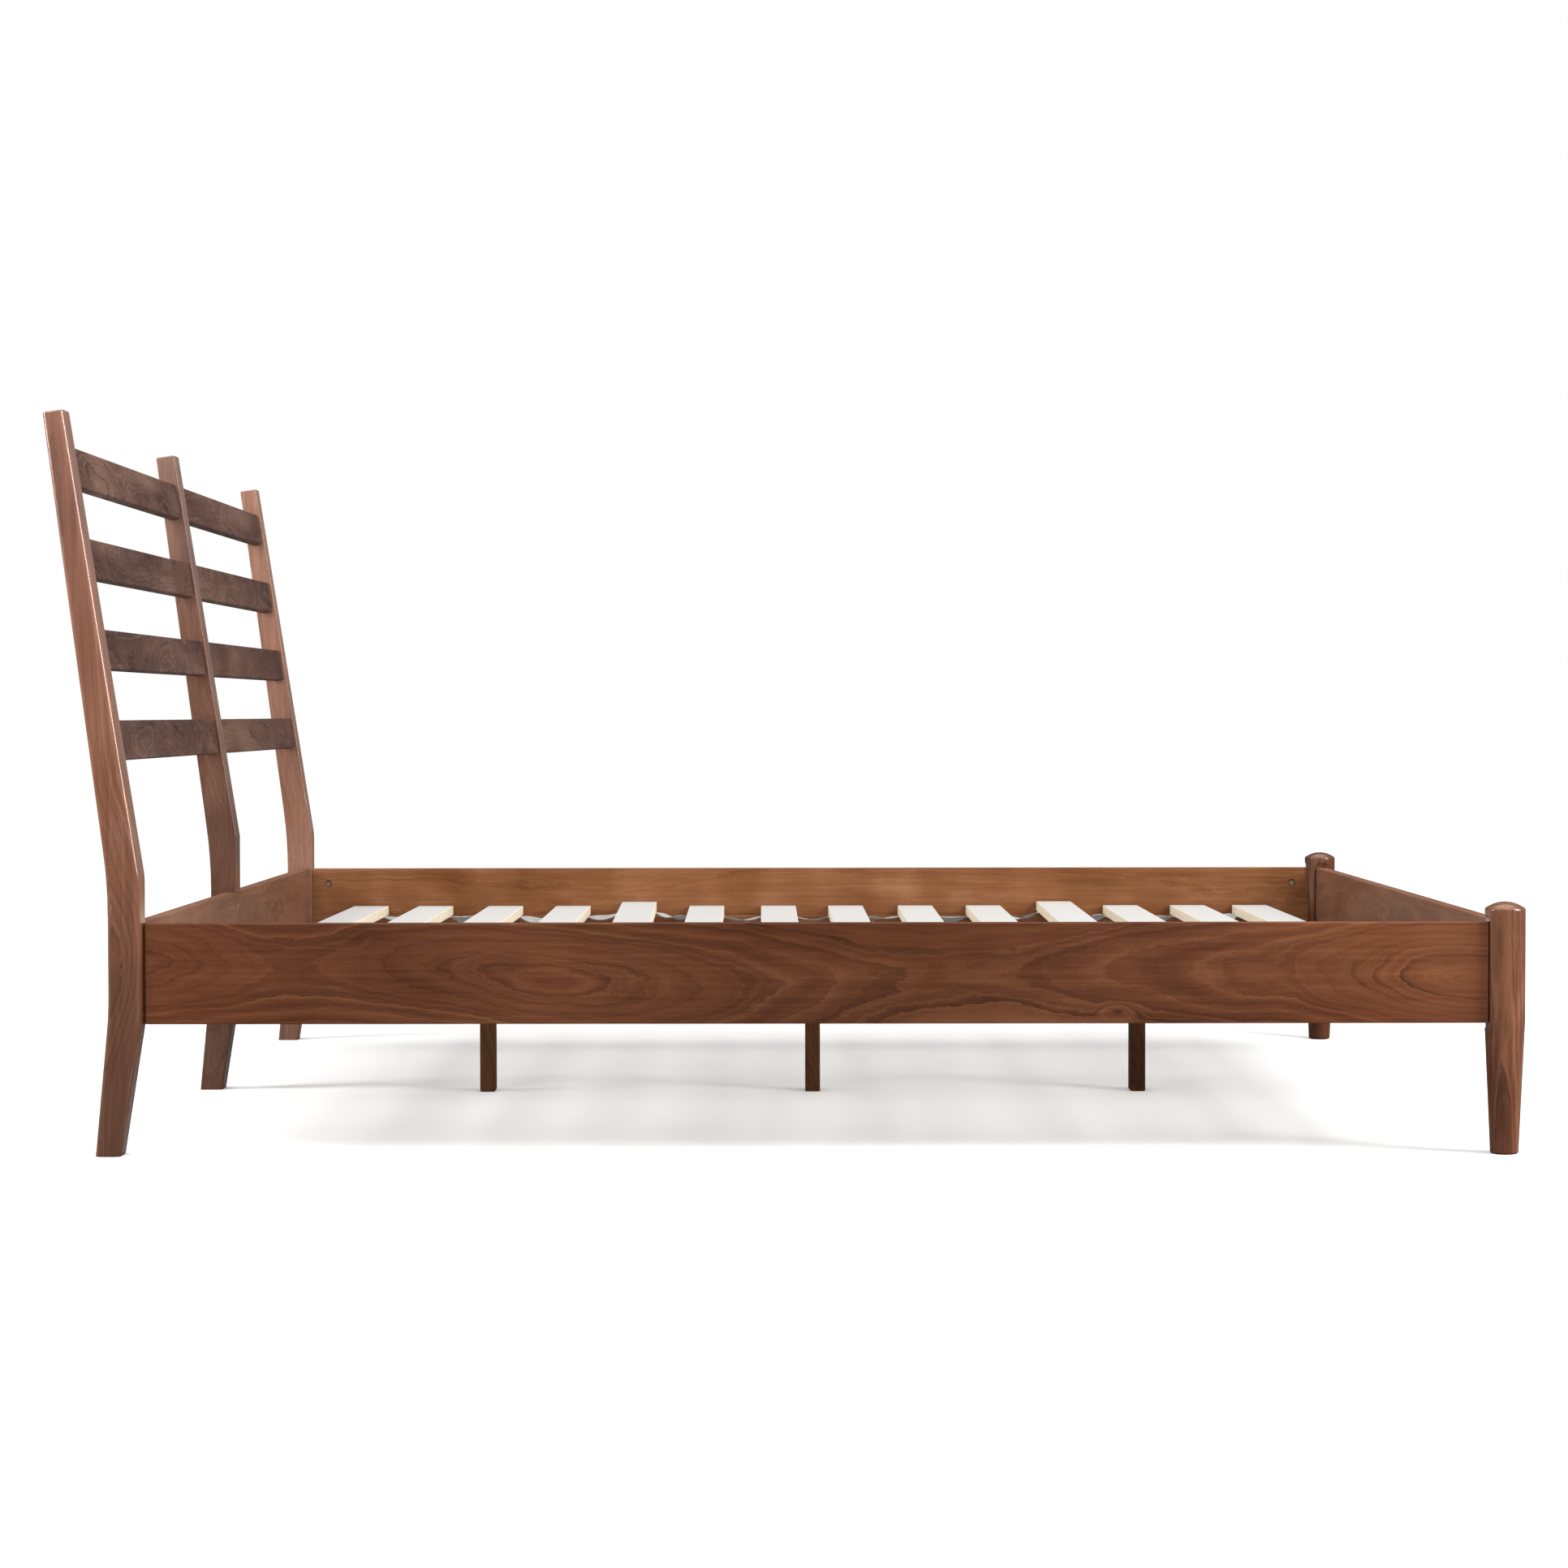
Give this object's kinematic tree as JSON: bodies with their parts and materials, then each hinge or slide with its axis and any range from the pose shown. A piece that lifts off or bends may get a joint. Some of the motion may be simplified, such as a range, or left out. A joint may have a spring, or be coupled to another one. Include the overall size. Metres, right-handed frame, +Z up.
{
  "type": "bed",
  "caption": "Low slatted platform bed with a ladder headboard on posts that curve back, round tapered foot legs and a slat base held inside four rails.",
  "frame": {"origin": "on the floor, under the middle of the overall length and width", "axes": "+X from head to foot, +Z up, left side of the bed (seen from the foot) towards -Y"},
  "size_m": [2.2167, 1.63, 1.1167],
  "materials": {
    "post_walnut": "satin lacquered walnut, long grain",
    "rail_walnut": "satin lacquered walnut, flat-sawn figure",
    "rung_walnut": "satin lacquered walnut, swirly figure",
    "leg_walnut": "satin turned walnut",
    "dark_walnut": "satin dark walnut",
    "slat_ply": "pale plywood with thin dark edge plies",
    "frame_softwood": "planed softwood, unfinished",
    "packer_ply": "pale plywood",
    "webbing": "ribbed grey woven tape",
    "bracket_steel": "black powder coat",
    "fixing_steel": "zinc plated",
    "nickel_brass": "nickel-tinted brass"
  },
  "bodies": {
    "root": {"barrel_nuts": "nickel_brass", "beam_bracket_foot": "bracket_steel", "beam_bracket_head": "bracket_steel", "bed_slat_01": "slat_ply", "bed_slat_02": "slat_ply", "bed_slat_03": "slat_ply", "bed_slat_04": "slat_ply", "bed_slat_05": "slat_ply", "bed_slat_06": "slat_ply", "bed_slat_07": "slat_ply", "bed_slat_08": "slat_ply", "bed_slat_09": "slat_ply", "bed_slat_10": "slat_ply", "bed_slat_11": "slat_ply", "bed_slat_12": "slat_ply", "bed_slat_13": "slat_ply", "bed_slat_14": "slat_ply", "bracket_screws": "fixing_steel", "center_beam": "frame_softwood", "center_leg_1": "dark_walnut", "center_leg_2": "dark_walnut", "center_leg_3": "dark_walnut", "center_leg_screws": "fixing_steel", "center_post_screws": "fixing_steel", "foot_leg_left": "leg_walnut", "foot_leg_right": "leg_walnut", "foot_rail": "rail_walnut", "head_post_center": "post_walnut", "head_post_left": "post_walnut", "head_post_right": "post_walnut", "head_rail": "rail_walnut", "headboard_rung_left_1": "rung_walnut", "headboard_rung_left_2": "rung_walnut", "headboard_rung_left_3": "rung_walnut", "headboard_rung_left_4": "rung_walnut", "headboard_rung_right_1": "rung_walnut", "headboard_rung_right_2": "rung_walnut", "headboard_rung_right_3": "rung_walnut", "headboard_rung_right_4": "rung_walnut", "ledger_screws": "fixing_steel", "rail_bolts": "fixing_steel", "side_rail_left": "rail_walnut", "side_rail_right": "rail_walnut", "slat_ledger_left": "rail_walnut", "slat_ledger_right": "rail_walnut", "slat_packers": "packer_ply", "slat_strap_left": "webbing", "slat_strap_right": "webbing", "strap_tacks": "fixing_steel"}
  },
  "joints": []
}
